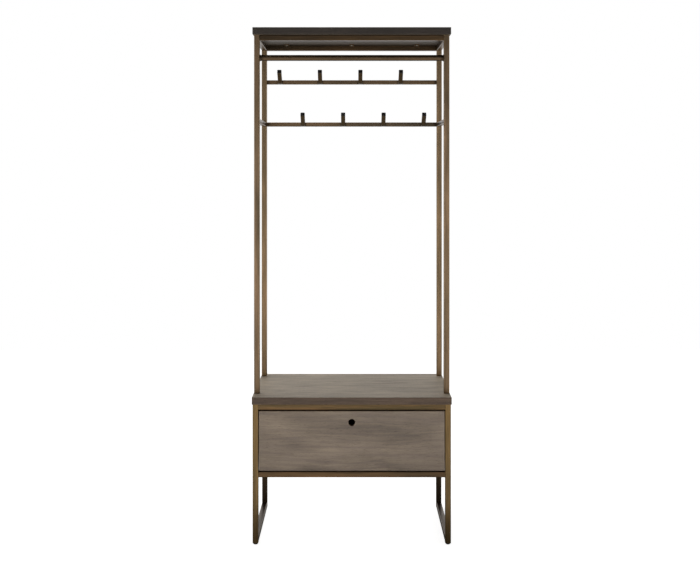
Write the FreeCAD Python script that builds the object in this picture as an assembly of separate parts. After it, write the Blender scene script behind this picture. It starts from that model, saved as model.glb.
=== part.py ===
import FreeCAD, Part
import os
from math import atan2, cos, degrees, radians, sin

# A hall tree: a steel-framed bench with one drawer, and above it a post frame with a
# top shelf, a hanging rod and two rails of coat hooks.
# Millimetres. +Z is up, the front faces -Y, left is -X, and the origin is on the floor
# under the middle of the bench.

# Overall sizes
OVERALL_HEIGHT = 1820.0
SEAT_HEIGHT = 518.0
SEAT_WIDTH = 700.0
SEAT_DEPTH = 400.0
SEAT_THICKNESS = 25.0
SEAT_OVERHANG_SIDE = 2.0
SEAT_OVERHANG_FRONT = 7.0
SHELF_OVERHANG_SIDE = 4.0
SHELF_OVERHANG_FRONT = 18.0
SHELF_OVERHANG_REAR = 18.0
SHELF_THICKNESS = 25.0
BOARD_EDGE_RADIUS = 1.0

# Steel tube
TUBE = 20.0
SLIM_TUBE = 16.0
TUBE_WALL = 1.5
TUBE_CORNER_RADIUS = 2.5

# Upper frame, measured back from the seat's edges and down from the shelf's underside
POST_SETBACK_FRONT = 60.0
POST_SETBACK_REAR = 24.0
TOP_POST_LENGTH = 313.0
UPPER_HOOK_RAIL_DROP = 150.0
ROD_DROP = 81.0
ROD_DIAMETER = 21.0
POST_CONNECTOR_LENGTH = 80.0
JOINT_GROOVE_HEIGHT = 1.0
JOINT_GROOVE_DEPTH = 0.8
FOOT_PLUG_LENGTH = 30.0

# Coat hooks: pegs of the slim tube that leave the rail level and bend upwards, closed with
# plastic caps. The upper row starts near the left post, the lower row near the right post.
HOOKS_PER_RAIL = 4
HOOK_NEAR_GAP = 52.0
HOOK_FAR_GAP = 140.5
PEG_STUB = 4.0
PEG_BEND_RADIUS = 14.0
PEG_RISE_ANGLE = 40.0
PEG_STRAIGHT = 50.0
PEG_CAP_THICKNESS = 3.0
PEG_CAP_STEM = 10.0
PEG_CAP_ROUNDING = 0.6

# Glides under the legs
GLIDE_HEIGHT = 5.0
GLIDE_DIAMETER = 15.0
GLIDE_PLUG_LENGTH = 12.0
GLIDE_ROUNDING = 1.5

# Drawer case panels
DRAWER_OPENING_HEIGHT = 217.0
SIDE_PANEL_THICKNESS = 16.0
BACK_PANEL_THICKNESS = 12.0

# Drawer
FRONT_THICKNESS = 20.0
FRONT_EDGE_RADIUS = 2.0
FRONT_GAP_SIDE = 2.5
FRONT_GAP_TOP = 4.5
FRONT_GAP_BOTTOM = 4.0
FINGER_HOLE_DIAMETER = 25.0
FINGER_HOLE_DROP = 40.0
FINGER_HOLE_ROUNDING = 1.5
BOX_BOARD = 12.0
BOX_RISE = 8.0
BOX_DROP = 51.5
BOX_REAR_GAP = 33.0
BOTTOM_BOARD = 5.0
BOTTOM_RISE = 8.0
GROOVE_DEPTH = 5.0
GROOVE_CLEARANCE = 0.3

# Ball-bearing slides: cabinet member, middle member and drawer member, one in another
SLIDE_THICKNESS = 12.7
SLIDE_HEIGHT = 35.0
SLIDE_RISE = 50.0
SLIDE_FRONT_GAP = 3.0
SLIDE_REAR_GAP = 10.0
SLIDE_METAL = 1.2
SLIDE_MEMBER_GAP = 0.8
SLIDE_LIP_GAP = 2.0
BALL_DIAMETER = 3.0
BALL_CLEARANCE = 0.1
BALLS_PER_STRIP = 6
CAGE_METAL = 0.6
CAGE_WIDTH = 4.6
CAGE_END_MARGIN = 5.0

# Fasteners
BOLT_DIAMETER = 6.0
BOLT_HEAD_DIAMETER = 10.0
BOLT_HEAD_HEIGHT = 5.0
BOLT_BITE = 22.0
BOLT_HOLE_CLEARANCE = 0.5
ACCESS_HOLE_CLEARANCE = 2.0
SCREW_DIAMETER = 4.0
SCREW_HEAD_DIAMETER = 8.0
SCREW_HEAD_HEIGHT = 2.5
SCREW_BITE = 14.0
SLIDE_SCREW_BITE = 9.0
CAM_DIAMETER = 12.0
CAM_DEPTH = 9.0
CAM_SETBACK = 24.0
CAM_BOLT_DIAMETER = 5.0
CAM_BOLT_BITE = 12.0
CAM_SLOT_WIDTH = 1.6
CAM_SLOT_DEPTH = 2.0
CAM_END_MARGIN = 22.0
TAB_WIDTH = 18.0
TAB_LENGTH = 34.0
TAB_WELD_DEPTH = 0.5
TAB_HOLE_SETBACK = 11.0
TAB_END_GAP = 78.0
SEAT_SCREW_END_GAP = 108.0
PANEL_SCREW_MARGIN = 70.0
BACK_PANEL_SCREW_INSET = 7.0

# Places worked out from the sizes above
frame_half_width = SEAT_WIDTH / 2 - SEAT_OVERHANG_SIDE
leg_x = frame_half_width - TUBE / 2
inner_x = frame_half_width - TUBE
frame_half_depth = SEAT_DEPTH / 2 - SEAT_OVERHANG_FRONT
leg_y = frame_half_depth - TUBE / 2
inner_y = frame_half_depth - TUBE

seat_bottom = SEAT_HEIGHT - SEAT_THICKNESS
opening_top = seat_bottom - TUBE
opening_bottom = opening_top - DRAWER_OPENING_HEIGHT

post_front_y = POST_SETBACK_FRONT + TUBE / 2 - SEAT_DEPTH / 2
post_rear_y = SEAT_DEPTH / 2 - POST_SETBACK_REAR - TUBE / 2
shelf_bottom = OVERALL_HEIGHT - SHELF_THICKNESS
post_joint_z = shelf_bottom - TOP_POST_LENGTH
lower_hook_rail_z = post_joint_z + SLIM_TUBE / 2
upper_hook_rail_z = shelf_bottom - UPPER_HOOK_RAIL_DROP + SLIM_TUBE / 2
rod_z = shelf_bottom - ROD_DROP
bore = TUBE - 2 * TUBE_WALL
slim_bore = SLIM_TUBE - 2 * TUBE_WALL
bore_radius = TUBE_CORNER_RADIUS - TUBE_WALL
tab_thickness = TUBE_CORNER_RADIUS + TAB_WELD_DEPTH
tab_hole_reach = TAB_LENGTH - TAB_HOLE_SETBACK

front_bottom = opening_bottom + FRONT_GAP_BOTTOM
front_top = opening_top - FRONT_GAP_TOP
front_back_y = FRONT_THICKNESS - frame_half_depth
box_half_width = inner_x - SLIDE_THICKNESS
box_inner_x = box_half_width - BOX_BOARD
box_bottom = front_bottom + BOX_RISE
box_top = front_top - BOX_DROP
box_rear_y = inner_y - BOX_REAR_GAP
bottom_board_z = box_bottom + BOTTOM_RISE

slide_z = box_bottom + SLIDE_RISE
slide_front_y = front_back_y + SLIDE_FRONT_GAP
slide_rear_y = box_rear_y - SLIDE_REAR_GAP
slide_travel = slide_rear_y - slide_front_y
cage_front_y = slide_front_y + slide_travel / 4 + CAGE_END_MARGIN
cage_length = slide_travel / 2 - 2 * CAGE_END_MARGIN
raceway = BALL_DIAMETER + 2 * BALL_CLEARANCE
cabinet_half_height = SLIDE_HEIGHT / 2
middle_half_height = cabinet_half_height - SLIDE_METAL - raceway
drawer_half_height = middle_half_height - SLIDE_METAL - raceway
middle_web = SLIDE_METAL + SLIDE_MEMBER_GAP
drawer_lip = middle_web + SLIDE_METAL + SLIDE_MEMBER_GAP
ball_inset = SLIDE_THICKNESS / 2 + SLIDE_MEMBER_GAP
slide_screw_ys = (slide_front_y + slide_travel / 4, slide_rear_y - slide_travel / 8)

LEFT_RIGHT = (("left", -1), ("right", 1))
FRONT_REAR = (("front", -1), ("rear", 1))
UP = FreeCAD.Vector(0, 0, 1)


def point(x, y, z):
    return FreeCAD.Vector(x, y, z)


def block(x_a, x_b, y_a, y_b, z_a, z_b):
    """A box between two opposite corners, given in any order."""
    corner = point(min(x_a, x_b), min(y_a, y_b), min(z_a, z_b))
    return Part.makeBox(abs(x_b - x_a), abs(y_b - y_a), abs(z_b - z_a), corner)


def board(x_a, x_b, y_a, y_b, z_a, z_b, edge_radius=BOARD_EDGE_RADIUS):
    """A box with every edge eased."""
    plain = block(x_a, x_b, y_a, y_b, z_a, z_b)
    return plain.makeFillet(edge_radius, plain.Edges)


def cylinder(diameter, start, end):
    line = end.sub(start)
    return Part.makeCylinder(diameter / 2, line.Length, start, line)


def square_bar(size, radius, start, end):
    """A bar of rounded square section between two points on its centre line."""
    line = end.sub(start)
    bar = Part.makeBox(size, size, line.Length, point(-size / 2, -size / 2, 0))
    corners = [edge for edge in bar.Edges if edge.tangentAt(edge.FirstParameter).isParallel(UP, 0.01)]
    bar = bar.makeFillet(radius, corners)
    bar.Placement = FreeCAD.Placement(start, FreeCAD.Rotation(UP, line))
    return bar


def square_tube(size, start, end):
    outer = square_bar(size, TUBE_CORNER_RADIUS, start, end)
    inner = square_bar(size - 2 * TUBE_WALL, bore_radius, start, end)
    return outer.cut(inner)


def tube_insert(start, end):
    """A plug that fills the bore of the frame tube."""
    return square_bar(bore, bore_radius, start, end)


# Fasteners that pull a board down onto a tube: the head sits inside the tube, against
# the wall under the board, and is reached through a wider hole in the opposite wall.

def rail_fastener_hole(x, y, board_z, shank, head):
    """What a fastener rising to a board at board_z takes out of the tube below it."""
    narrow_hole = cylinder(shank, point(x, y, board_z - TUBE_WALL), point(x, y, board_z))
    access_hole = cylinder(head + ACCESS_HOLE_CLEARANCE, point(x, y, board_z - TUBE),
                           point(x, y, board_z - TUBE / 2))
    return narrow_hole.fuse(access_hole)


def rising_fastener(x, y, seat_z, head, head_height, shank, tip_z):
    """A fastener whose head lies under seat_z and whose shank rises to tip_z."""
    cap = cylinder(head, point(x, y, seat_z - head_height), point(x, y, seat_z))
    return cap.fuse(cylinder(shank, point(x, y, seat_z), point(x, y, tip_z)))


def rail_screw(x, y, board_z):
    return rising_fastener(x, y, board_z - TUBE_WALL, SCREW_HEAD_DIAMETER, SCREW_HEAD_HEIGHT,
                           SCREW_DIAMETER, board_z + SCREW_BITE)


def rail_screw_cut(x, y, board_z):
    return rail_fastener_hole(x, y, board_z, SCREW_DIAMETER, SCREW_HEAD_DIAMETER)


def pilot_hole(x, y, board_z):
    return cylinder(SCREW_DIAMETER, point(x, y, board_z), point(x, y, board_z + SCREW_BITE))


def flush_screw(x_face, side, y, z, bite):
    """A countersunk screw driven along X, its head flush with x_face."""
    tip = point(x_face + side * bite, y, z)
    head = Part.makeCone(SCREW_HEAD_DIAMETER / 2, SCREW_DIAMETER / 2, SLIDE_METAL,
                         point(x_face, y, z), point(side, 0, 0))
    return head.fuse(cylinder(SCREW_DIAMETER, point(x_face, y, z), tip))


def cut_all(shape, cuts):
    for cut in cuts:
        shape = shape.cut(cut)
    return shape


def seat_screw_places():
    reach = inner_x - SEAT_SCREW_END_GAP
    return [(x, side * leg_y) for x in (-reach, 0, reach) for _, side in FRONT_REAR]


def side_panel_screw_places():
    reach = inner_y - PANEL_SCREW_MARGIN
    panel_x = inner_x + SIDE_PANEL_THICKNESS / 2
    return [(side * panel_x, y) for _, side in LEFT_RIGHT for y in (-reach, reach)]


def back_panel_screw_places():
    reach = inner_x - PANEL_SCREW_MARGIN
    return [(x, inner_y + BACK_PANEL_SCREW_INSET) for x in (-reach, reach)]


def post_places():
    return [(side * leg_x, y) for _, side in LEFT_RIGHT for y in (post_front_y, post_rear_y)]


def tab_places():
    """Middle of each tab's root, on the inner face of a top rail, and its direction in Y."""
    rows = ((post_front_y + TUBE / 2, 1), (post_rear_y - TUBE / 2, -1))
    reach = inner_x - TAB_END_GAP
    return [(x, y, turn) for x in (-reach, 0, reach) for y, turn in rows]


def base_legs():
    legs = {}
    for end_name, end in FRONT_REAR:
        for side_name, side in LEFT_RIGHT:
            foot = point(side * leg_x, end * leg_y, GLIDE_HEIGHT)
            head = point(side * leg_x, end * leg_y, seat_bottom)
            legs[f"base_leg_{end_name}_{side_name}"] = [square_tube(TUBE, foot, head)]
    return legs


def cross_rail(y, z, size=TUBE):
    return square_tube(size, point(-inner_x, y, z), point(inner_x, y, z))


def depth_rail(side, z):
    return square_tube(TUBE, point(side * leg_x, -inner_y, z), point(side * leg_x, inner_y, z))


def base_rails():
    rails = {}
    seat_cuts = [rail_screw_cut(x, y, seat_bottom) for x, y in seat_screw_places()]
    back_cuts = [rail_screw_cut(x, y, opening_bottom) for x, y in back_panel_screw_places()]
    side_cuts = [rail_screw_cut(x, y, opening_bottom) for x, y in side_panel_screw_places()]
    hole = BOLT_DIAMETER + BOLT_HOLE_CLEARANCE
    post_cuts = [rail_fastener_hole(x, y, seat_bottom, hole, BOLT_HEAD_DIAMETER)
                 for x, y in post_places()]
    top_z = seat_bottom - TUBE / 2
    bottom_z = opening_bottom - TUBE / 2
    for end_name, end in FRONT_REAR:
        rails[f"base_top_rail_{end_name}"] = [cut_all(cross_rail(end * leg_y, top_z), seat_cuts)]
        rails[f"base_bottom_rail_{end_name}"] = [cut_all(cross_rail(end * leg_y, bottom_z), back_cuts)]
    for side_name, side in LEFT_RIGHT:
        rails[f"base_top_rail_{side_name}"] = [cut_all(depth_rail(side, top_z), post_cuts)]
        rails[f"base_bottom_rail_{side_name}"] = [cut_all(depth_rail(side, bottom_z), side_cuts)]
        rails[f"floor_rail_{side_name}"] = [depth_rail(side, GLIDE_HEIGHT + TUBE / 2)]
    return rails


def glide(x, y):
    """A plastic plug in the leg's end with a round foot under it."""
    foot = cylinder(GLIDE_DIAMETER, point(x, y, 0), point(x, y, GLIDE_HEIGHT))
    rim = [edge for edge in foot.Edges if edge.BoundBox.ZMax < GLIDE_HEIGHT / 2]
    foot = foot.makeFillet(GLIDE_ROUNDING, rim)
    plug = tube_insert(point(x, y, GLIDE_HEIGHT), point(x, y, GLIDE_HEIGHT + GLIDE_PLUG_LENGTH))
    return foot.fuse(plug)


def floor_glides():
    glides = [glide(side * leg_x, end * leg_y) for _, side in LEFT_RIGHT for _, end in FRONT_REAR]
    return {"floor_glides": glides}


def bench_seat():
    seat = board(-SEAT_WIDTH / 2, SEAT_WIDTH / 2, -SEAT_DEPTH / 2, SEAT_DEPTH / 2,
                 seat_bottom, SEAT_HEIGHT)
    hole = BOLT_DIAMETER + BOLT_HOLE_CLEARANCE
    cuts = [pilot_hole(x, y, seat_bottom) for x, y in seat_screw_places()]
    cuts += [cylinder(hole, point(x, y, seat_bottom), point(x, y, SEAT_HEIGHT))
             for x, y in post_places()]
    return {"bench_seat": [cut_all(seat, cuts)]}


def case_panels():
    panels = {}
    side_cuts = [pilot_hole(x, y, opening_bottom) for x, y in side_panel_screw_places()]
    back_cuts = [pilot_hole(x, y, opening_bottom) for x, y in back_panel_screw_places()]
    for name, side in LEFT_RIGHT:
        panel = block(side * inner_x, side * (inner_x + SIDE_PANEL_THICKNESS), -inner_y, inner_y,
                      opening_bottom, opening_top)
        slide_cuts = [slide_screw(side, y) for y in slide_screw_ys]
        panels[f"side_panel_{name}"] = [cut_all(panel, side_cuts + slide_cuts)]
    back = block(-inner_x, inner_x, inner_y, inner_y + BACK_PANEL_THICKNESS, opening_bottom, opening_top)
    panels["back_panel"] = [cut_all(back, back_cuts)]
    return panels


def joint_groove(x, y):
    """What the eased tube ends leave open around a post at the joint: a fine groove."""
    half = UP * (JOINT_GROOVE_HEIGHT / 2)
    joint = point(x, y, post_joint_z)
    around = square_bar(TUBE + TUBE, TUBE_CORNER_RADIUS, joint - half, joint + half)
    core = square_bar(TUBE - 2 * JOINT_GROOVE_DEPTH, TUBE_CORNER_RADIUS - JOINT_GROOVE_DEPTH,
                      joint - half, joint + half)
    return around.cut(core)


def posts():
    """Lower posts on the seat, and the shorter posts of the top frame above the joint."""
    made = {}
    for end_name, y in (("front", post_front_y), ("rear", post_rear_y)):
        for side_name, side in LEFT_RIGHT:
            x = side * leg_x
            lower = square_tube(TUBE, point(x, y, SEAT_HEIGHT), point(x, y, post_joint_z))
            upper = square_tube(TUBE, point(x, y, post_joint_z), point(x, y, shelf_bottom))
            made[f"post_{end_name}_{side_name}"] = [lower.cut(joint_groove(x, y))]
            made[f"top_post_{end_name}_{side_name}"] = [upper.cut(joint_groove(x, y))]
    return made


def upper_rails():
    rails = {}
    top_z = shelf_bottom - TUBE / 2
    side_front = post_front_y + TUBE / 2
    side_rear = post_rear_y - TUBE / 2
    rails["top_rail_front"] = [cross_rail(post_front_y, top_z)]
    rails["top_rail_rear"] = [cross_rail(post_rear_y, top_z)]
    rails["hook_rail_upper"] = [cross_rail(post_rear_y, upper_hook_rail_z, SLIM_TUBE)]
    rails["hook_rail_lower"] = [cross_rail(post_rear_y, lower_hook_rail_z, SLIM_TUBE)]
    for name, side in LEFT_RIGHT:
        x = side * leg_x
        for rail, size, z in (("top_rail", TUBE, top_z), ("mid_rail", SLIM_TUBE, lower_hook_rail_z)):
            rails[f"{rail}_{name}"] = [square_tube(size, point(x, side_front, z), point(x, side_rear, z))]
    return rails


def hanging_rod():
    left = point(-inner_x, post_front_y, rod_z)
    right = point(inner_x, post_front_y, rod_z)
    rod = cylinder(ROD_DIAMETER, left, right)
    return {"hanging_rod": [rod.cut(cylinder(ROD_DIAMETER - 2 * TUBE_WALL, left, right))]}


def post_inserts():
    """Connectors across the post joints, and the threaded plugs in the posts' feet."""
    half = POST_CONNECTOR_LENGTH / 2
    connectors = []
    plugs = []
    for x, y in post_places():
        joint = point(x, y, post_joint_z)
        connectors.append(tube_insert(joint - UP * half, joint + UP * half))
        plug = tube_insert(point(x, y, SEAT_HEIGHT), point(x, y, SEAT_HEIGHT + FOOT_PLUG_LENGTH))
        thread = cylinder(BOLT_DIAMETER, point(x, y, SEAT_HEIGHT), point(x, y, SEAT_HEIGHT + BOLT_BITE))
        plugs.append(plug.cut(thread))
    return {"post_connectors": connectors, "post_foot_plugs": plugs}


def post_bolts():
    head_z = seat_bottom - TUBE_WALL
    bolts = [rising_fastener(x, y, head_z, BOLT_HEAD_DIAMETER, BOLT_HEAD_HEIGHT, BOLT_DIAMETER,
                             SEAT_HEIGHT + BOLT_BITE) for x, y in post_places()]
    return {"post_bolts": bolts}


def top_shelf():
    half_width = frame_half_width + SHELF_OVERHANG_SIDE
    front = post_front_y - TUBE / 2 - SHELF_OVERHANG_FRONT
    rear = post_rear_y + TUBE / 2 + SHELF_OVERHANG_REAR
    shelf = board(-half_width, half_width, front, rear, shelf_bottom, OVERALL_HEIGHT)
    cuts = [pilot_hole(x, y + turn * tab_hole_reach, shelf_bottom) for x, y, turn in tab_places()]
    return {"top_shelf": [cut_all(shelf, cuts)]}


def fixing_tabs():
    """Small steel plates on the top rails, under the shelf, that hold its screws."""
    tab_bottom = shelf_bottom - tab_thickness
    tabs = []
    for x, y, turn in tab_places():
        tab = block(x - TAB_WIDTH / 2, x + TAB_WIDTH / 2, y, y + turn * TAB_LENGTH, tab_bottom, shelf_bottom)
        hole_y = y + turn * tab_hole_reach
        hole = cylinder(SCREW_DIAMETER, point(x, hole_y, tab_bottom), point(x, hole_y, shelf_bottom))
        tabs.append(tab.cut(hole))
    return {"fixing_tabs": tabs}


def wood_screws():
    screws = [rail_screw(x, y, seat_bottom) for x, y in seat_screw_places()]
    screws += [rail_screw(x, y, opening_bottom) for x, y in side_panel_screw_places()]
    screws += [rail_screw(x, y, opening_bottom) for x, y in back_panel_screw_places()]
    for x, y, turn in tab_places():
        screws.append(rising_fastener(x, y + turn * tab_hole_reach, shelf_bottom - tab_thickness,
                                      SCREW_HEAD_DIAMETER, SCREW_HEAD_HEIGHT, SCREW_DIAMETER,
                                      shelf_bottom + SCREW_BITE))
    screws += [slide_screw(side, y) for _, side in LEFT_RIGHT for y in slide_screw_ys]
    return {"wood_screws": screws}


def hook_places():
    """Middle of each hook's root on the front face of its rail."""
    face_y = post_rear_y - SLIM_TUBE / 2
    spacing = (2 * inner_x - HOOK_NEAR_GAP - HOOK_FAR_GAP) / (HOOKS_PER_RAIL - 1)
    places = []
    for z, first_gap in ((upper_hook_rail_z, HOOK_NEAR_GAP), (lower_hook_rail_z, HOOK_FAR_GAP)):
        places += [point(first_gap - inner_x + i * spacing, face_y, z) for i in range(HOOKS_PER_RAIL)]
    return places


def peg_path():
    """The peg's centre line from the rail's face: level, bent up, then straight to its end."""
    half_turn = radians(PEG_RISE_ANGLE / 2)
    turn = radians(PEG_RISE_ANGLE)
    root = point(0, 0, 0)
    bend_start = point(0, -PEG_STUB, 0)
    bend_middle = bend_start + point(0, -sin(half_turn), 1 - cos(half_turn)) * PEG_BEND_RADIUS
    bend_end = bend_start + point(0, -sin(turn), 1 - cos(turn)) * PEG_BEND_RADIUS
    direction = point(0, -cos(turn), sin(turn))
    tip = bend_end + direction * PEG_STRAIGHT
    path = Part.Wire([Part.LineSegment(root, bend_start).toShape(),
                      Part.Arc(bend_start, bend_middle, bend_end).toShape(),
                      Part.LineSegment(bend_end, tip).toShape()])
    return path, tip, direction


def bent_bar(path, size, radius):
    """A bar of rounded square section swept along a path that leaves the rail's face."""
    start = path.Vertexes[0].Point
    section = square_bar(size, radius, start, start - point(0, size, 0))
    outline = [face for face in section.Faces if abs(face.CenterOfMass.y - start.y) < 0.001][0]
    return path.makePipeShell([outline.OuterWire], True, False)


def square_bar_along(direction, size, radius, start, length):
    """A bar of rounded square section that rises in the plane X = 0, with two sides upright."""
    bar = square_bar(size, radius, point(0, 0, 0), point(0, -length, 0))
    bar.rotate(point(0, 0, 0), point(-1, 0, 0), degrees(atan2(direction.z, -direction.y)))
    return bar.translated(start)


def coat_hooks():
    path, tip, direction = peg_path()
    peg = bent_bar(path, SLIM_TUBE, TUBE_CORNER_RADIUS).cut(bent_bar(path, slim_bore, bore_radius))
    cap = square_bar_along(direction, SLIM_TUBE, TUBE_CORNER_RADIUS, tip, PEG_CAP_THICKNESS)
    outer_end = tip.dot(direction) + PEG_CAP_THICKNESS
    rim = [edge for edge in cap.Edges if abs(edge.CenterOfMass.dot(direction) - outer_end) < 0.01]
    cap = cap.makeFillet(PEG_CAP_ROUNDING, rim)
    stem = square_bar_along(direction, slim_bore, bore_radius, tip - direction * PEG_CAP_STEM, PEG_CAP_STEM)
    plug = cap.fuse(stem)
    pegs = [peg.translated(place) for place in hook_places()]
    return {"coat_hooks": pegs, "hook_end_caps": [plug.translated(place) for place in hook_places()]}


def drawer_front():
    half_width = inner_x - FRONT_GAP_SIDE
    front = board(-half_width, half_width, -frame_half_depth, front_back_y, front_bottom, front_top,
                  FRONT_EDGE_RADIUS)
    hole_z = front_top - FINGER_HOLE_DROP
    hole = cylinder(FINGER_HOLE_DIAMETER, point(0, -frame_half_depth, hole_z),
                    point(0, front_back_y, hole_z))
    front = front.cut(hole)
    rims = [edge for edge in front.Edges
            if abs(edge.BoundBox.ZLength - FINGER_HOLE_DIAMETER) < 0.1 and edge.BoundBox.YLength < 0.1]
    front = front.makeFillet(FINGER_HOLE_ROUNDING, rims)
    cuts = [cam_bolt(side, z) for _, side in LEFT_RIGHT for z in cam_heights()]
    return {"drawer_front": [cut_all(front, cuts)]}


def cam_heights():
    return (box_bottom + CAM_END_MARGIN, box_top - CAM_END_MARGIN)


def cam_bolt(side, z):
    """The stud from the drawer front into the end of a drawer side, up to the cam."""
    x = side * (box_half_width - BOX_BOARD / 2)
    cam_edge = front_back_y + CAM_SETBACK - CAM_DIAMETER / 2
    return cylinder(CAM_BOLT_DIAMETER, point(x, front_back_y - CAM_BOLT_BITE, z), point(x, cam_edge, z))


def cam_lock(side, z):
    """The round cam in the inner face of a drawer side."""
    y = front_back_y + CAM_SETBACK
    return cylinder(CAM_DIAMETER, point(side * box_inner_x, y, z),
                    point(side * (box_inner_x + CAM_DEPTH), y, z))


def slotted_cam(side, z):
    y = front_back_y + CAM_SETBACK
    slot = block(side * box_inner_x, side * (box_inner_x + CAM_SLOT_DEPTH), y - CAM_SLOT_WIDTH / 2,
                 y + CAM_SLOT_WIDTH / 2, z - CAM_DIAMETER / 3, z + CAM_DIAMETER / 3)
    return cam_lock(side, z).cut(slot)


def drawer_back_screw(side, z):
    y = box_rear_y - BOX_BOARD / 2
    return flush_screw(side * box_half_width, -side, y, z, BOX_BOARD + SCREW_BITE)


def drawer_back_screws():
    low = slide_z + SLIDE_HEIGHT
    return [drawer_back_screw(side, z) for _, side in LEFT_RIGHT for z in (low, (low + box_top) / 2)]


def drawer_member_screws():
    face = box_half_width + SLIDE_METAL
    return [flush_screw(side * face, -side, y, slide_z, SLIDE_SCREW_BITE)
            for _, side in LEFT_RIGHT for y in slide_screw_ys]


def drawer_box():
    made = {}
    board_half_width = box_inner_x + GROOVE_DEPTH - GROOVE_CLEARANCE
    board_top = bottom_board_z + BOTTOM_BOARD
    screw_cuts = drawer_back_screws() + drawer_member_screws()
    for name, side in LEFT_RIGHT:
        panel = block(side * box_inner_x, side * box_half_width, front_back_y, box_rear_y,
                      box_bottom, box_top)
        groove = block(side * box_inner_x, side * (box_inner_x + GROOVE_DEPTH), front_back_y, box_rear_y,
                       bottom_board_z, board_top)
        cuts = [groove] + screw_cuts
        cuts += [cam_bolt(side, z) for z in cam_heights()]
        cuts += [cam_lock(side, z) for z in cam_heights()]
        made[f"drawer_side_{name}"] = [cut_all(panel, cuts)]
    back = block(-box_inner_x, box_inner_x, box_rear_y - BOX_BOARD, box_rear_y, board_top, box_top)
    made["drawer_back"] = [cut_all(back, screw_cuts)]
    made["drawer_bottom"] = [block(-board_half_width, board_half_width, front_back_y, box_rear_y,
                                   bottom_board_z, board_top)]
    return made


def drawer_fasteners():
    pairs = [(side, z) for _, side in LEFT_RIGHT for z in cam_heights()]
    return {"drawer_cam_bolts": [cam_bolt(side, z) for side, z in pairs],
            "drawer_cam_locks": [slotted_cam(side, z) for side, z in pairs],
            "drawer_screws": drawer_back_screws() + drawer_member_screws()}


# Slide members are channels. Their inset is measured from the case panel's face inwards,
# and their height from the slide's centre line.

def channel(side, web_a, web_b, lip, half_height):
    """A channel with its web between two insets and its two flanges reaching to lip."""
    ends = (slide_front_y, slide_rear_y)
    web = block(side * (inner_x - web_a), side * (inner_x - web_b), *ends,
                slide_z - half_height, slide_z + half_height)
    for up in (-1, 1):
        outer = slide_z + up * half_height
        flange = block(side * (inner_x - web_a), side * (inner_x - lip), *ends,
                       outer, outer - up * SLIDE_METAL)
        web = web.fuse(flange)
    return web.removeSplitter()


def slide_screw(side, y):
    """Fixes the cabinet member to the case panel, its head flush inside the channel."""
    return flush_screw(side * (inner_x - SLIDE_METAL), side, y, slide_z, SLIDE_SCREW_BITE)


def slide_members():
    made = {}
    open_lip = SLIDE_THICKNESS - SLIDE_LIP_GAP
    drawer_web = SLIDE_THICKNESS - SLIDE_METAL
    for name, side in LEFT_RIGHT:
        cabinet = channel(side, 0, SLIDE_METAL, open_lip, cabinet_half_height)
        middle = channel(side, middle_web, middle_web + SLIDE_METAL, open_lip, middle_half_height)
        drawer = channel(side, SLIDE_THICKNESS, drawer_web, drawer_lip, drawer_half_height)
        cabinet_screws = [slide_screw(side, y) for y in slide_screw_ys]
        made[f"slide_cabinet_member_{name}"] = [cut_all(cabinet, cabinet_screws)]
        made[f"slide_middle_member_{name}"] = [middle]
        made[f"slide_drawer_member_{name}"] = [cut_all(drawer, drawer_member_screws())]
    return made


def ball_cage(side, height):
    """One strip of balls at a height from the slide's centre line."""
    x = side * (inner_x - ball_inset)
    z = slide_z + height
    pitch = cage_length / BALLS_PER_STRIP
    strip = block(x - CAGE_WIDTH / 2, x + CAGE_WIDTH / 2, cage_front_y, cage_front_y + cage_length,
                  z - CAGE_METAL / 2, z + CAGE_METAL / 2)
    balls = []
    for i in range(BALLS_PER_STRIP):
        y = cage_front_y + (i + 0.5) * pitch
        strip = strip.cut(cylinder(raceway, point(x, y, z - CAGE_METAL), point(x, y, z + CAGE_METAL)))
        balls.append(Part.makeSphere(BALL_DIAMETER / 2, point(x, y, z)))
    return [strip] + balls


def ball_cages():
    made = {}
    rows = (("outer_ball_cages", middle_half_height + raceway / 2),
            ("inner_ball_cages", drawer_half_height + raceway / 2))
    for name, height in rows:
        cages = [ball_cage(side, up * height) for _, side in LEFT_RIGHT for up in (-1, 1)]
        made[name] = [solid for cage in cages for solid in cage]
    return made


def all_nodes():
    nodes = {}
    makers = (base_legs, base_rails, floor_glides, bench_seat, case_panels, posts, upper_rails,
              hanging_rod, post_inserts, post_bolts, top_shelf, fixing_tabs, wood_screws, coat_hooks,
              drawer_front, drawer_box, drawer_fasteners, slide_members, ball_cages)
    for maker in makers:
        nodes.update(maker())
    return nodes


def write_steps(nodes):
    os.makedirs("parts", exist_ok=True)
    for name, solids in nodes.items():
        shape = solids[0] if len(solids) == 1 else Part.makeCompound(solids)
        shape.exportStep(f"parts/{name}.step")


write_steps(all_nodes())
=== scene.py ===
import bpy
from math import cos, pi, radians, sin
from mathutils import Matrix, Vector


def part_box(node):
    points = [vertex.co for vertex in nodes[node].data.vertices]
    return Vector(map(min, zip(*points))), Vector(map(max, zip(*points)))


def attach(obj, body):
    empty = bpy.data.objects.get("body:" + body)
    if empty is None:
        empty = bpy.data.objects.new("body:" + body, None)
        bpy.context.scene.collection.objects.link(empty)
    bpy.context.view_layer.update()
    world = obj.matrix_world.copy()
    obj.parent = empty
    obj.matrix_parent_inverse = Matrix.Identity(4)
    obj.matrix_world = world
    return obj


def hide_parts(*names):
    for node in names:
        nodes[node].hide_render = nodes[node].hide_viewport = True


# A hall tree: the finishes, the fine pieces and the studio around its frame.
# Metres. +Z is up and the front faces -Y.

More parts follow.
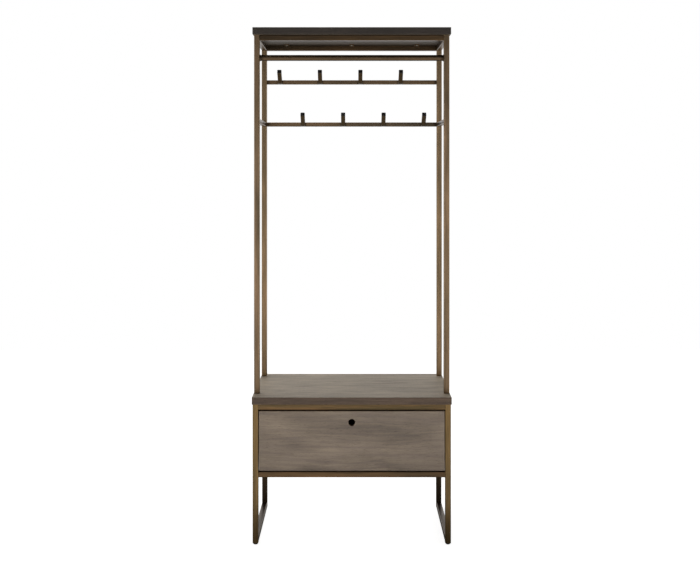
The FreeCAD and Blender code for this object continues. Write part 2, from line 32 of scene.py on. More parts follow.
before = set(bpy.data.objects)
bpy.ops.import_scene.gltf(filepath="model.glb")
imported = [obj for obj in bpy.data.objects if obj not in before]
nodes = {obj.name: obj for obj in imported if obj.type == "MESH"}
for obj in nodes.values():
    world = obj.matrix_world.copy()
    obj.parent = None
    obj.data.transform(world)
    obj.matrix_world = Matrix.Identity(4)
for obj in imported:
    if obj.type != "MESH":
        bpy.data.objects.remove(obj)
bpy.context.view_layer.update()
MM = 0.001
X = Vector((1.0, 0.0, 0.0))

# Camera and floor. The lens and the sensor are in millimetres, the shift in sensor heights.
CAMERA_PLACE = (0.0, -3.622, 1.314)
CAMERA_LENS = 62.0
CAMERA_SHIFT = (-0.0031, -0.2007)
SENSOR_WIDTH = 27.0
SENSOR_HEIGHT = 36.0
FLOOR_SIZE = 7.0

# The slim square tube of the rails and the hooks
SLIM_HALF = 8 * MM
TUBE_ROUNDING = 2.5 * MM
HOOK_RISE = radians(40)
SAME_ROW = 5 * MM

# The plugs that close the hooks. Each step of a plug's face rises by the first value and is
# narrowed by the second: plate, domed edge, rim, sunk panel and moulding nib. The stem's width
# is a share of the plate's.
CAP_PLATE = 2.5 * MM
CAP_DOME = 0.5 * MM
CAP_STEM = 8 * MM
CAP_STEM_WIDTH = 0.82
CAP_STEM_TAPER = 0.94
CAP_CORNER_STEPS = 6
CAP_STEPS = ((CAP_PLATE, 1.0), (0.35 * MM, 0.975), (0.15 * MM, 0.93), (0.0, 0.78),
             (-0.45 * MM, 0.96), (0.0, 0.4), (0.25 * MM, 0.85))

# Fillet welds. The sizes of the bead and the ring follow from BEAD, RIPPLE is one ripple's length,
# and the weld shade reach is how far from a weld the tube is painted darker: painted shade where
# the parts meet, and the weld's heat tint.
BEAD = 2.6 * MM
BEAD_SIDES = 12
BEAD_NECK = BEAD * 0.55
BEAD_SWELL = 1.2
BEAD_FADE = 0.6
BEAD_LENGTH = SLIM_HALF * 2 - 3 * MM
BESIDE_HOOK = BEAD * 0.3
OFF_THE_END = BEAD * 0.2
RING_HALF = BEAD * 0.6
RING_SWELL = BEAD * 0.22
RING_SIDES = 8
RIPPLE = 1.7 * MM
WELD_SHADE_AND_TINT = 14 * MM
SMOOTH_UP_TO = radians(40)

# Most of a noise lies within this span, so a pattern is stretched from it.
NOISE_SPAN = {"From Min": 0.3, "From Max": 0.7}


# Camera and studio

def studio_camera():
    """A level camera, its front lowered like a view camera's so that uprights stay parallel."""
    data = bpy.data.cameras.new("studio_camera")
    data.sensor_fit = "VERTICAL"
    data.sensor_width = SENSOR_WIDTH
    data.sensor_height = SENSOR_HEIGHT
    data.lens = CAMERA_LENS
    data.shift_x, data.shift_y = CAMERA_SHIFT
    camera = bpy.data.objects.new("studio_camera", data)
    camera.location = CAMERA_PLACE
    camera.rotation_euler = (pi / 2, 0.0, 0.0)
    bpy.context.scene.collection.objects.link(camera)
    bpy.context.scene.camera = camera


def soft_box(name, place, aim, width, height, watts):
    """A large diffused lamp at a place, turned towards a point."""
    data = bpy.data.lights.new(name, "AREA")
    data.shape = "RECTANGLE"
    data.size = width
    data.size_y = height
    data.energy = watts
    lamp = bpy.data.objects.new(name, data)
    lamp.visible_camera = False
    lamp.location = place
    lamp.rotation_euler = (Vector(aim) - Vector(place)).to_track_quat("-Z", "Y").to_euler()
    bpy.context.scene.collection.objects.link(lamp)


def studio_room():
    """White to the camera. What lights the object is a white sweep behind it and a soft band of
    light in front, no higher than the camera, so that its top stays darker than its bench."""
    scene = bpy.context.scene
    scene.view_settings.view_transform = "Standard"
    world = bpy.data.worlds.new("studio_room")
    scene.world = world
    world.use_nodes = True
    tree = world.node_tree
    tree.nodes.clear()
    seen = add(tree, "ShaderNodeBackground", {"Color": (1, 1, 1, 1), "Strength": 1.0})
    direction = add(tree, "ShaderNodeTexCoord")
    heading = add(tree, "ShaderNodeSeparateXYZ", {0: direction.outputs["Generated"]})
    rising = add(tree, "ShaderNodeMapRange", {"Value": heading.outputs["Z"], "From Min": -0.18,
                                              "From Max": -0.05, "To Min": 0.9, "To Max": 2.3})
    falling = add(tree, "ShaderNodeMapRange", {"Value": heading.outputs["Z"], "From Min": -0.01,
                                               "From Max": 0.09, "To Min": 1.0, "To Max": 0.03})
    front = add(tree, "ShaderNodeMath", {0: rising.outputs[0], 1: falling.outputs[0]},
                operation="MULTIPLY")
    sweep = add(tree, "ShaderNodeMapRange", {"Value": heading.outputs["Z"], "From Min": 0.3,
                                             "From Max": 0.8, "To Min": 1.0, "To Max": 0.2})
    behind = add(tree, "ShaderNodeMapRange", {"Value": heading.outputs["Y"], "From Min": -0.3,
                                              "From Max": 0.3})
    strength = add(tree, "ShaderNodeMix", {0: behind.outputs[0], 2: front.outputs[0],
                                           3: sweep.outputs[0]})
    lighting = add(tree, "ShaderNodeBackground", {"Color": (1, 1, 1, 1),
                                                  "Strength": strength.outputs[0]})
    path = add(tree, "ShaderNodeLightPath")
    mixed = add(tree, "ShaderNodeMixShader", {0: path.outputs["Is Camera Ray"],
                                              1: lighting.outputs[0], 2: seen.outputs[0]})
    add(tree, "ShaderNodeOutputWorld", {"Surface": mixed.outputs[0]})


def studio_floor():
    only_select()
    bpy.ops.mesh.primitive_plane_add(size=FLOOR_SIZE, location=(0.0, 0.0, 0.0))
    floor = bpy.context.object
    floor.name = "studio_floor"
    floor.data.materials.append(white_paper())


# Node and colour helpers

def add(tree, kind, inputs=None, **settings):
    """Adds a node. Settings are its own options, inputs are values or links for its sockets."""
    node = tree.nodes.new(kind)
    for name, value in settings.items():
        setattr(node, name, value)
    for name, value in (inputs or {}).items():
        if isinstance(value, bpy.types.NodeSocket):
            tree.links.new(value, node.inputs[name])
        else:
            node.inputs[name].default_value = value
    return node


def colour(code):
    """A linear colour from an sRGB hex value."""
    parts = [int(code[i:i + 2], 16) / 255 for i in (0, 2, 4)]
    linear = [p / 12.92 if p <= 0.04045 else ((p + 0.055) / 1.055) ** 2.4 for p in parts]
    return (*linear, 1.0)


def per_mm(x, y, z):
    """Mapping scale of a pattern whose features are this many millimetres long on each axis."""
    return (1 / (x * MM), 1 / (y * MM), 1 / (z * MM))


def streaks(along, length, width):
    """Mapping scale of a pattern that runs along one axis, from its marks' size in millimetres."""
    return per_mm(*[length if axis == along else width for axis in "XYZ"])


def new_material(name):
    material = bpy.data.materials.new(name)
    material.use_nodes = True
    material.node_tree.nodes.clear()
    return material, material.node_tree


def only_select(*objects):
    """Leaves nothing selected but these objects, the first of them active."""
    if bpy.context.mode != "OBJECT":
        bpy.ops.object.mode_set(mode="OBJECT")
    bpy.ops.object.select_all(action="DESELECT")
    for thing in objects:
        thing.select_set(True)
    if objects:
        bpy.context.view_layer.objects.active = objects[0]


# Materials

def white_paper():
    """Matt white background paper. To the camera alone it also glows, which hides its edge."""
    material, tree = new_material("white_background_paper")
    path = add(tree, "ShaderNodeLightPath")
    lifted = add(tree, "ShaderNodeMath", {0: path.outputs["Is Camera Ray"], 1: 0.9},
                 operation="MULTIPLY")
    shader = add(tree, "ShaderNodeBsdfPrincipled", {
        "Base Color": colour("CFCECC"), "Roughness": 0.9, "Emission Color": colour("FFFFFF"),
        "Emission Strength": lifted.outputs[0]})
    add(tree, "ShaderNodeOutputMaterial", {"Surface": shader.outputs[0]})
    return material


def bronzed_steel(name, along, olive, orange, rubbed, welds=()):
    """Brushed steel tube, bronzed with acid and lacquered. The acid takes unevenly, so olive and
    orange patches run along the tube, and rubbing back leaves the rounded corners brighter.
    The tube is painted darker for a centimetre on both sides of each weld: painted shade where the
    parts meet, and the weld's heat tint."""
    material, tree = new_material(name)
    place = add(tree, "ShaderNodeTexCoord")
    patch_map = add(tree, "ShaderNodeMapping", {"Vector": place.outputs["Object"],
                                                "Scale": streaks(along, 340.0, 30.0)})
    # Brush marks are a tenth of a millimetre apart. They are drawn twenty times as coarse.
    brush_map = add(tree, "ShaderNodeMapping", {"Vector": place.outputs["Object"],
                                                "Scale": streaks(along, 90.0, 2.2)})
    patches = add(tree, "ShaderNodeTexNoise", {"Vector": patch_map.outputs[0], "Scale": 1.0,
                                               "Detail": 4.0, "Roughness": 0.62})
    brushed = add(tree, "ShaderNodeTexNoise", {"Vector": brush_map.outputs[0], "Scale": 1.0,
                                               "Detail": 3.0, "Roughness": 0.6})
    how_orange = add(tree, "ShaderNodeMapRange", {"Value": patches.outputs["Fac"], "From Min": 0.3,
                                                  "From Max": 0.72})
    patina = add(tree, "ShaderNodeMix", {0: how_orange.outputs[0], 6: colour(olive),
                                         7: colour(orange)}, data_type="RGBA")
    how_marked = add(tree, "ShaderNodeMapRange", {"Value": brushed.outputs["Fac"], **NOISE_SPAN,
                                                  "To Min": 0.72, "To Max": 1.22})
    marked = add(tree, "ShaderNodeMix", {0: 1.0, 6: patina.outputs[2], 7: how_marked.outputs[0]},
                 data_type="RGBA", blend_type="MULTIPLY")
    corner = flatness(tree, place)
    how_rubbed = add(tree, "ShaderNodeMapRange", {"Value": corner, "From Min": 0.97,
                                                  "From Max": 0.8, "To Min": 0.0, "To Max": 0.55})
    worn = add(tree, "ShaderNodeMix", {0: how_rubbed.outputs[0], 6: marked.outputs[2],
                                       7: colour(rubbed)}, data_type="RGBA")
    finish = worn.outputs[2]
    spot = add(tree, "ShaderNodeSeparateXYZ", {0: place.outputs["Object"]}) if welds else None
    # Painted shade and heat tint: the tube is painted darker near each weld.
    for weld in welds:
        away = add(tree, "ShaderNodeMath", {0: spot.outputs[along], 1: weld}, operation="SUBTRACT")
        reach = add(tree, "ShaderNodeMath", {0: away.outputs[0]}, operation="ABSOLUTE")
        tint = add(tree, "ShaderNodeMapRange", {
            "Value": reach.outputs[0], "From Min": WELD_SHADE_AND_TINT * 0.5, "From Max": WELD_SHADE_AND_TINT,
            "To Min": 0.42, "To Max": 1.0})
        finish = add(tree, "ShaderNodeMix", {0: 1.0, 6: finish, 7: tint.outputs[0]},
                     data_type="RGBA", blend_type="MULTIPLY").outputs[2]
    sheen = add(tree, "ShaderNodeMapRange", {"Value": patches.outputs["Fac"], **NOISE_SPAN,
                                             "To Min": 0.4, "To Max": 0.28})
    relief = add(tree, "ShaderNodeBump", {"Height": brushed.outputs["Fac"], "Strength": 0.25,
                                          "Distance": 0.05 * MM})
    shader = add(tree, "ShaderNodeBsdfPrincipled", {
        "Base Color": finish, "Metallic": 1.0, "Roughness": sheen.outputs[0],
        "Coat Weight": 0.2, "Coat Roughness": 0.3, "Normal": relief.outputs[0]})
    add(tree, "ShaderNodeOutputMaterial", {"Surface": shader.outputs[0]})
    return material


def flatness(tree, place):
    """1 where a face looks straight along an axis, and less round a corner."""
    normal = add(tree, "ShaderNodeVectorMath", {0: place.outputs["Normal"]}, operation="ABSOLUTE")
    parts = add(tree, "ShaderNodeSeparateXYZ", {0: normal.outputs[0]})
    across = add(tree, "ShaderNodeMath", {0: parts.outputs["X"], 1: parts.outputs["Y"]},
                 operation="MAXIMUM")
    return add(tree, "ShaderNodeMath", {0: across.outputs[0], 1: parts.outputs["Z"]},
               operation="MAXIMUM").outputs[0]


def weathered_oak(name, light, dark, pore, edge=None, shaded_underside=None, rubbed=None, figure=0.5,
                  cloud=0.14, along="X"):
    """Oak veneer, wire-brushed, greyed and matt lacquered, with its grain along one axis. Rings
    show as long arches, pores as short dark lines, brushing leaves the soft wood slightly lower,
    and the stain lies in soft clouds. The sizes of each are millimetres along and across it."""
    material, tree = new_material(name)
    across = tuple(0.0 if axis == along else 9.0 for axis in "XYZ")
    place = add(tree, "ShaderNodeTexCoord")
    sway_map = add(tree, "ShaderNodeMapping", {"Vector": place.outputs["Object"],
                                               "Scale": streaks(along, 420, 95)})
    sway = add(tree, "ShaderNodeTexNoise", {"Vector": sway_map.outputs[0], "Scale": 1.0,
                                            "Detail": 2.0, "Roughness": 0.45})
    ring_map = add(tree, "ShaderNodeMapping", {"Vector": place.outputs["Object"],
                                               "Scale": streaks(along, 540, 9)})
    swayed = add(tree, "ShaderNodeVectorMath", {0: sway.outputs["Color"], 1: across},
                 operation="MULTIPLY")
    ring_place = add(tree, "ShaderNodeVectorMath", {0: ring_map.outputs[0], 1: swayed.outputs[0]},
                     operation="ADD")
    rings = add(tree, "ShaderNodeTexNoise", {"Vector": ring_place.outputs[0], "Scale": 1.0,
                                             "Detail": 2.5, "Roughness": 0.55})
    fibre_map = add(tree, "ShaderNodeMapping", {"Vector": place.outputs["Object"],
                                                "Scale": streaks(along, 70, 1.6)})
    fibres = add(tree, "ShaderNodeTexNoise", {"Vector": fibre_map.outputs[0], "Scale": 1.0,
                                              "Detail": 3.0, "Roughness": 0.6})
    # Oak's pores are a third of a millimetre wide. They are drawn three times as wide.
    pore_map = add(tree, "ShaderNodeMapping", {"Vector": place.outputs["Object"],
                                               "Scale": streaks(along, 14, 1.1)})
    pores = add(tree, "ShaderNodeTexNoise", {"Vector": pore_map.outputs[0], "Scale": 1.0,
                                             "Detail": 1.0, "Roughness": 0.5})
    cloud_map = add(tree, "ShaderNodeMapping", {"Vector": place.outputs["Object"],
                                                "Scale": streaks(along, 190, 80)})
    clouds = add(tree, "ShaderNodeTexNoise", {"Vector": cloud_map.outputs[0], "Scale": 1.0,
                                              "Detail": 2.0, "Roughness": 0.5})
    figured = add(tree, "ShaderNodeMapRange", {"Value": rings.outputs["Fac"], "From Min": 0.34,
                                               "From Max": 0.66})
    fibred = add(tree, "ShaderNodeMapRange", {"Value": fibres.outputs["Fac"], **NOISE_SPAN})
    tone = add(tree, "ShaderNodeMix", {0: figure, 2: fibred.outputs[0], 3: figured.outputs[0]})
    wood = add(tree, "ShaderNodeMix", {0: tone.outputs[0], 6: colour(dark), 7: colour(light)},
               data_type="RGBA")
    how_open = add(tree, "ShaderNodeMapRange", {"Value": pores.outputs["Fac"], "From Min": 0.6,
                                                "From Max": 0.72, "To Min": 0.0, "To Max": 0.6})
    pored = add(tree, "ShaderNodeMix", {0: how_open.outputs[0], 6: wood.outputs[2],
                                        7: colour(pore)}, data_type="RGBA")
    how_cloudy = add(tree, "ShaderNodeMapRange", {"Value": clouds.outputs["Fac"], **NOISE_SPAN,
                                                  "To Min": 1.0 - cloud, "To Max": 1.0 + cloud})
    clouded = add(tree, "ShaderNodeMix", {0: 1.0, 6: pored.outputs[2], 7: how_cloudy.outputs[0]},
                  data_type="RGBA", blend_type="MULTIPLY")
    finish = clouded.outputs[2]
    facing = add(tree, "ShaderNodeSeparateXYZ", {0: place.outputs["Normal"]})
    if edge:
        # The upright edges are painted darker than the face: painted shade, where less light falls
        # than on the top.
        level = add(tree, "ShaderNodeMath", {0: facing.outputs["Z"]}, operation="ABSOLUTE")
        shaded_edge = add(tree, "ShaderNodeMapRange", {"Value": level.outputs[0], "From Min": 0.85,
                                                   "From Max": 0.6})
        stain = add(tree, "ShaderNodeMix", {0: 1.0, 6: finish, 7: colour(edge)}, data_type="RGBA",
                    blend_type="MULTIPLY")
        finish = add(tree, "ShaderNodeMix", {0: shaded_edge.outputs[0], 6: finish,
                                             7: stain.outputs[2]}, data_type="RGBA").outputs[2]
    if shaded_underside:
        # The faces that look down are painted darker: painted shade.
        down = add(tree, "ShaderNodeMapRange", {"Value": facing.outputs["Z"], "From Min": -0.85,
                                                "From Max": -0.95})
        under = add(tree, "ShaderNodeMix", {0: 1.0, 6: finish, 7: colour(shaded_underside)},
                    data_type="RGBA", blend_type="MULTIPLY")
        finish = add(tree, "ShaderNodeMix", {0: down.outputs[0], 6: finish,
                                             7: under.outputs[2]}, data_type="RGBA").outputs[2]
    if rubbed:
        # The rounded edges are painted lighter: a painted highlight where the eased edges catch the
        # light.
        how_rubbed = add(tree, "ShaderNodeMapRange", {
            "Value": flatness(tree, place), "From Min": 0.98, "From Max": 0.8, "To Min": 0.0,
            "To Max": 0.8})
        finish = add(tree, "ShaderNodeMix", {0: how_rubbed.outputs[0], 6: finish,
                                             7: colour(rubbed)}, data_type="RGBA").outputs[2]
    matt = add(tree, "ShaderNodeMapRange", {"Value": fibres.outputs["Fac"], **NOISE_SPAN,
                                            "To Min": 0.66, "To Max": 0.5})
    depth = add(tree, "ShaderNodeMath", {0: fibred.outputs[0], 1: how_open.outputs[0]},
                operation="SUBTRACT")
    relief = add(tree, "ShaderNodeBump", {"Height": depth.outputs[0], "Strength": 0.35,
                                          "Distance": 0.15 * MM})
    shader = add(tree, "ShaderNodeBsdfPrincipled", {
        "Base Color": finish, "Roughness": matt.outputs[0], "IOR": 1.5,
        "Normal": relief.outputs[0]})
    add(tree, "ShaderNodeOutputMaterial", {"Surface": shader.outputs[0]})
    return material


def plain_metal(name, base, shade, rough, along, mark):
    """Plated or bare steel with faint marks along one axis, from the mill or the press. Real marks
    are a tenth of a millimetre wide or less. They are drawn mark millimetres wide."""
    material, tree = new_material(name)
    place = add(tree, "ShaderNodeTexCoord")
    mapped = add(tree, "ShaderNodeMapping", {"Vector": place.outputs["Object"],
                                             "Scale": streaks(along, mark * 25, mark)})
    marks = add(tree, "ShaderNodeTexNoise", {"Vector": mapped.outputs[0], "Scale": 1.0,
                                             "Detail": 3.0, "Roughness": 0.6})
    share = add(tree, "ShaderNodeMapRange", {"Value": marks.outputs["Fac"], **NOISE_SPAN})
    metal = add(tree, "ShaderNodeMix", {0: share.outputs[0], 6: colour(shade), 7: colour(base)},
                data_type="RGBA")
    gloss = add(tree, "ShaderNodeMapRange", {"Value": marks.outputs["Fac"], **NOISE_SPAN,
                                             "To Min": rough + 0.08, "To Max": rough})
    shader = add(tree, "ShaderNodeBsdfPrincipled", {"Base Color": metal.outputs[2], "Metallic": 1.0,
                                                    "Roughness": gloss.outputs[0]})
    add(tree, "ShaderNodeOutputMaterial", {"Surface": shader.outputs[0]})
    return material


def moulded_plastic(name, base, rough):
    """Injection-moulded polyamide with the fine spark texture of its mould."""
    material, tree = new_material(name)
    place = add(tree, "ShaderNodeTexCoord")
    # The mould's texture is a tenth of a millimetre fine. It is drawn four times as coarse.
    mapped = add(tree, "ShaderNodeMapping", {"Vector": place.outputs["Object"],
                                             "Scale": per_mm(0.4, 0.4, 0.4)})
    grit = add(tree, "ShaderNodeTexNoise", {"Vector": mapped.outputs[0], "Scale": 1.0,
                                            "Detail": 1.0, "Roughness": 0.5})
    shade = add(tree, "ShaderNodeMapRange", {"Value": grit.outputs["Fac"], **NOISE_SPAN,
                                             "To Min": 0.85, "To Max": 1.15})
    tinted = add(tree, "ShaderNodeMix", {0: 1.0, 6: colour(base), 7: shade.outputs[0]},
                 data_type="RGBA", blend_type="MULTIPLY")
    relief = add(tree, "ShaderNodeBump", {"Height": grit.outputs["Fac"], "Strength": 0.3,
                                          "Distance": 0.03 * MM})
    shader = add(tree, "ShaderNodeBsdfPrincipled", {
        "Base Color": tinted.outputs[2], "Roughness": rough, "IOR": 1.53,
        "Normal": relief.outputs[0]})
    add(tree, "ShaderNodeOutputMaterial", {"Surface": shader.outputs[0]})
    return material


def finish_nodes(material, *names):
    for name in names:
        mesh = nodes[name].data
        mesh.materials.clear()
        mesh.materials.append(material)


# Fine pieces

def solids(node):
    """The corners of each separate solid in a CAD node."""
    mesh = nodes[node].data
    spots = [tuple(round(value, 5) for value in corner.co) for corner in mesh.vertices]
    group = {spot: spot for spot in spots}

    def head(spot):
        while group[spot] != spot:
            spot = group[spot]
        return spot

    for face in mesh.polygons:
        heads = [head(spots[corner]) for corner in face.vertices]
        for other in heads:
            group[other] = heads[0]
    found = {}
    for spot in group:
        found.setdefault(head(spot), []).append(Vector(spot))
    return sorted(found.values(), key=lambda corners: min(corner.x for corner in corners))


def middle(corners, direction):
    """How far along a direction the middle and the far end of a solid are."""
    reach = [corner.dot(direction) for corner in corners]
    return (min(reach) + max(reach)) / 2, max(reach)


def hook_middles(row_z):
    """X of the hooks that are welded to the rail at a height."""
    found = [(middle(hook, X)[0], min(corner.z for corner in hook))
             for hook in solids("coat_hooks")]
    return [x for x, z in found if abs(z - row_z) < SAME_ROW]


def copies(model, name, places, body, slot, *replaced):
    """A copy of a modelled piece at each place, with its own mesh. The model is then removed."""
    for number, place in enumerate(places, 1):
        twin = model.copy()
        twin.data = model.data.copy()
        twin.data.transform(place)
        twin.name = f"{name}_{number}"
        bpy.context.scene.collection.objects.link(twin)
        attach(twin, body)
        if replaced:
            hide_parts(*replaced)
    bpy.data.objects.remove(model)


def smooth(piece):
    only_select(piece)
    bpy.ops.object.shade_smooth_by_angle(angle=SMOOTH_UP_TO)


def select_points(piece, wanted):
    """In edit mode, selects only the points for which wanted(place) holds."""
    bpy.ops.mesh.select_mode(type="VERT")
    bpy.ops.mesh.select_all(action="DESELECT")
    bpy.ops.object.mode_set(mode="OBJECT")
    for point in piece.data.vertices:
        point.select = wanted(point.co)
    bpy.ops.object.mode_set(mode="EDIT")


def extrude_face(rise, shrink):
    """In edit mode, draws the selected face up by a step and shrinks it about the middle."""
    bpy.ops.mesh.extrude_region_move(TRANSFORM_OT_translate={"value": (0.0, 0.0, rise)})
    bpy.ops.transform.resize(value=(shrink, shrink, 1.0), center_override=(0.0, 0.0, 0.0))


def weld_bead(length, material):
    """A short fillet weld along Z, laid down in overlapping ripples that fade out at the end."""
    only_select()
    bpy.ops.mesh.primitive_circle_add(vertices=BEAD_SIDES, radius=BEAD_NECK, fill_type="NGON",
                                      location=(0.0, 0.0, -length / 2))
    bead = bpy.context.object
    bpy.ops.object.transform_apply(location=True, rotation=True, scale=True)
    bpy.ops.object.mode_set(mode="EDIT")
    bpy.ops.mesh.select_all(action="SELECT")
    ripples = round(length / RIPPLE)
    for ripple in range(ripples):
        last = ripple == ripples - 1
        extrude_face(length / ripples / 2, BEAD_SWELL)
        extrude_face(length / ripples / 2, BEAD_FADE if last else 1 / BEAD_SWELL)
    bpy.ops.mesh.select_all(action="SELECT")
    bpy.ops.mesh.normals_make_consistent(inside=False)
    bpy.ops.object.mode_set(mode="OBJECT")
    bead.data.materials.append(material)
    smooth(bead)
    return bead


def weld_ring(radius, material):
    """A fillet weld all round the end of the rod, in the same ripples."""
    only_select()
    steps = 2 * round(pi * radius / RIPPLE)
    bpy.ops.mesh.primitive_torus_add(major_segments=steps, minor_segments=RING_SIDES,
                                     major_radius=radius, minor_radius=RING_HALF)
    ring = bpy.context.object
    bpy.ops.object.mode_set(mode="EDIT")
    turn = 2 * pi / steps
    select_points(ring, lambda place: round(Vector((1, 0)).angle_signed(place.xy) / turn) % 2 == 0)
    bpy.ops.transform.shrink_fatten(value=RING_SWELL)
    bpy.ops.object.mode_set(mode="OBJECT")
    ring.data.materials.append(material)
    smooth(ring)
    return ring


def weld_the_frame():
    """Beads beside each hook's root and each slim rail's ends, and rings round the rod's ends."""
    # The welds are drawn in bronze darker than the tubes: painted shade in the creases beside each
    # hook's root and each rail's end, and the welds' heat tint.
    shaded_weld_metal = bronzed_steel("weld_steel_painted_shade_and_heat_tint", "Z", "2E261C", "4A3B2A", "5E4D38")
    hook_places = []
    rail_places = []
    for rail in ("hook_rail_upper", "hook_rail_lower"):
        low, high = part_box(rail)
        z = (low[2] + high[2]) / 2
        for x in hook_middles(low[2]):
            for side in (-1, 1):
                beside = x + side * (SLIM_HALF + BESIDE_HOOK)
                hook_places.append(Matrix.Translation((beside, low[1], z)))
        for x, side in ((low[0], 1), (high[0], -1)):
            for y in (low[1], high[1]):
                rail_places.append(Matrix.Translation((x + side * OFF_THE_END, y, z)))
    for rail in ("mid_rail_left", "mid_rail_right"):
        low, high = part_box(rail)
        z = (low[2] + high[2]) / 2
        for y, side in ((low[1], 1), (high[1], -1)):
            for x in (low[0], high[0]):
                rail_places.append(Matrix.Translation((x, y + side * OFF_THE_END, z)))
    copies(weld_bead(BEAD_LENGTH, shaded_weld_metal), "hook_weld", hook_places, "frame", "bronzed_steel")
    copies(weld_bead(BEAD_LENGTH, shaded_weld_metal), "rail_weld", rail_places, "frame", "bronzed_steel")
    low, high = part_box("hanging_rod")
    y = (low[1] + high[1]) / 2
    z = (low[2] + high[2]) / 2
    upright = Matrix.Rotation(pi / 2, 4, "Y")
    rod_places = [Matrix.Translation((x, y, z)) @ upright
                  for x in (low[0] + OFF_THE_END, high[0] - OFF_THE_END)]
    ring = weld_ring((high[2] - low[2]) / 2, shaded_weld_metal)
    copies(ring, "rod_weld", rod_places, "frame", "bronzed_steel")


def hook_caps(material):
    """Square moulded plugs that close the hooks: a domed plate with a sunk panel and a nib."""
    only_select()
    bpy.ops.mesh.primitive_plane_add(size=SLIM_HALF * 2, location=(0.0, 0.0, 0.0))
    cap = bpy.context.object
    bpy.ops.object.mode_set(mode="EDIT")
    bpy.ops.mesh.select_all(action="SELECT")
    bpy.ops.mesh.bevel(offset=TUBE_ROUNDING, segments=CAP_CORNER_STEPS, affect="VERTICES")
    bpy.ops.mesh.select_all(action="SELECT")
    for rise, shrink in CAP_STEPS:
        extrude_face(rise, shrink)
    select_points(cap, lambda place: place.z < CAP_PLATE / 2)
    bpy.ops.mesh.select_mode(type="FACE")
    extrude_face(0.0, CAP_STEM_WIDTH)
    extrude_face(-CAP_STEM, CAP_STEM_TAPER)
    bpy.ops.mesh.select_all(action="SELECT")
    bpy.ops.mesh.normals_make_consistent(inside=False)
    bpy.ops.object.mode_set(mode="OBJECT")
    cap.data.materials.append(material)
    smooth(cap)
    outward = Vector((0.0, -cos(HOOK_RISE), sin(HOOK_RISE)))
    across = Vector((0.0, sin(HOOK_RISE), cos(HOOK_RISE)))
    tilt = Matrix.Rotation(pi / 2 - HOOK_RISE, 4, "X")
    places = []
    for plug in solids("hook_end_caps"):
        centre = X * middle(plug, X)[0] + across * middle(plug, across)[0]
        centre += outward * (middle(plug, outward)[1] - CAP_PLATE - CAP_DOME)
        places.append(Matrix.Translation(centre) @ tilt)
    copies(cap, "hook_cap", places, "frame", "black_plastic", "hook_end_caps")


# Finishes

def finish_frame():
    """Each group of tubes has its own copy of the bronze, lighter or darker by how much light falls
    where it stands: painted light and shade, darkest on the rear legs, the floor rails and the
    rails under the shelf.
    """
    sides = ("left", "right")
    ends = ("front", "rear")

    def pairs(*stems):
        return [f"{stem}_{side}" for stem in stems for side in sides]

    groups = [
        ("front_posts", "Z", pairs("post_front", "top_post_front"), "574B38", "846A50", "A08A68"),
        ("rear_posts", "Z", pairs("post_rear", "top_post_rear"), "62553F", "937657", "AA906C"),
        ("front_legs", "Z", pairs("base_leg_front"), "55482F", "866A42", "A38656"),
        ("rear_legs", "Z", pairs("base_leg_rear"), "3C3226", "5C4932", "725C40"),
        ("floor_rails", "Y", pairs("floor_rail"), "3C3226", "5C4932", "725C40"),
        ("bench_side_rails", "Y", pairs("base_top_rail", "base_bottom_rail"),
         "4C4030", "74583A", "8C7250"),
        ("bench_top_rails", "X", [f"base_top_rail_{end}" for end in ends],
         "55472E", "8E6A45", "A98A60"),
        ("bench_low_rails", "X", [f"base_bottom_rail_{end}" for end in ends],
         "433726", "6E5336", "846A4A"),
        ("shelf_side_rails", "Y", pairs("top_rail", "mid_rail"), "463B2C", "69523A", "836A4A"),
        ("shelf_rails", "X", [f"top_rail_{end}" for end in ends], "3C3022", "604A30", "7A6040")]
    for group, along, tubes, olive, orange, rubbed in groups:
        finish_nodes(bronzed_steel(f"bronzed_steel_{group}", along, olive, orange, rubbed), *tubes)
    for rail in ("hook_rail_upper", "hook_rail_lower"):
        low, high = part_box(rail)
        hooks = hook_middles(low[2])
        finish_nodes(bronzed_steel(f"bronzed_steel_{rail}", "X", "4C4133", "71593F", "8C7454",
                                   [low[0], *hooks, high[0]]), rail)
    # The rod has its own copy, painted darker: painted shade under the shelf.
    low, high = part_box("hanging_rod")
    finish_nodes(bronzed_steel("bronzed_steel_rod", "X", "43382A", "654F38", "7C6448",
                               [low[0], high[0]]), "hanging_rod")
    finish_nodes(bronzed_steel("bronzed_steel_tabs", "Y", "55472E", "8E6A45", "A98A60"),
                 "fixing_tabs")
    # The hooks have the rails' bronze, painted darker: painted shade.
    finish_nodes(bronzed_steel("bronzed_hook_steel_painted_shade", "Y", "453B2E", "64523C", "7A6648"),
                 "coat_hooks")


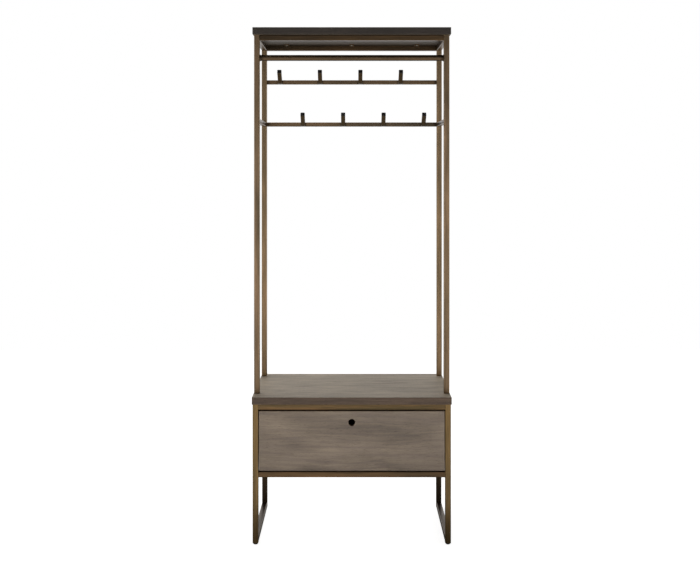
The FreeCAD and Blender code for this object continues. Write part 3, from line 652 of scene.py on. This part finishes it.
def finish_boards():
    # The seat's and the shelf's upright edges are painted darker than their tops: painted shade,
    # the shelf's most.
    seat = weathered_oak("weathered_oak_seat", "C6B79F", "86786A", "54493D", edge="968478")
    # The shelf's downward faces are painted darker too: painted shade.
    shelf = weathered_oak("weathered_oak_shelf", "C6B8A2", "8C8070", "5A4F43", edge="4C4440",
                          shaded_underside="7C7771")
    # The drawer front's rounded edges are painted lighter: painted highlight.
    front = weathered_oak("weathered_oak_front", "A4927C", "83746A", "66594D", rubbed="C2B09A",
                          figure=0.55, cloud=0.24)
    back = weathered_oak("weathered_oak_back", "8C7F6C", "675C4E", "463D33", figure=0.4)
    side = weathered_oak("weathered_oak_side", "8C7F6C", "675C4E", "463D33", figure=0.4,
                         along="Y")
    drawer = weathered_oak("oak_drawer_board", "B3A084", "96846A", "75664F", figure=0.3)
    drawer_side = weathered_oak("oak_drawer_side", "B3A084", "96846A", "75664F", figure=0.3,
                                along="Y")
    finish_nodes(seat, "bench_seat")
    finish_nodes(shelf, "top_shelf")
    finish_nodes(front, "drawer_front")
    finish_nodes(back, "back_panel")
    finish_nodes(side, "side_panel_left", "side_panel_right")
    finish_nodes(drawer, "drawer_back", "drawer_bottom")
    finish_nodes(drawer_side, "drawer_side_left", "drawer_side_right")


def finish_fittings():
    zinc = plain_metal("zinc_plated_steel", "C6C5BE", "A3A197", 0.32, "Z", 1.5)
    rolled = plain_metal("rolled_galvanised_steel", "B4B6B5", "8F9291", 0.36, "Y", 1.2)
    polished = plain_metal("polished_bearing_steel", "D2D2D0", "BEBEBC", 0.12, "Y", 0.6)
    black = moulded_plastic("black_moulded_polyamide", "1D1B19", 0.48)
    finish_nodes(zinc, "post_bolts", "wood_screws", "drawer_screws", "drawer_cam_bolts",
                 "drawer_cam_locks", "post_foot_plugs")
    members = [f"slide_{member}_member_{side}" for member in ("cabinet", "middle", "drawer")
               for side in ("left", "right")]
    finish_nodes(rolled, *members)
    finish_nodes(polished, "outer_ball_cages", "inner_ball_cages")
    finish_nodes(black, "floor_glides", "hook_end_caps", "post_connectors")
    hook_caps(black)
    weld_the_frame()


# The finished hall tree in its studio

studio_camera()
studio_room()
studio_floor()
soft_box("bounce_card", place=(0.0, -1.6, 0.01), aim=(0.0, -1.6, 1.0), width=3.2, height=2.2,
         watts=16.0)
soft_box("overhead_softbox", place=(-0.6, 0.4, 3.4), aim=(0.0, 0.0, 0.5), width=2.0, height=1.4,
         watts=34.0)
finish_frame()
finish_boards()
finish_fittings()
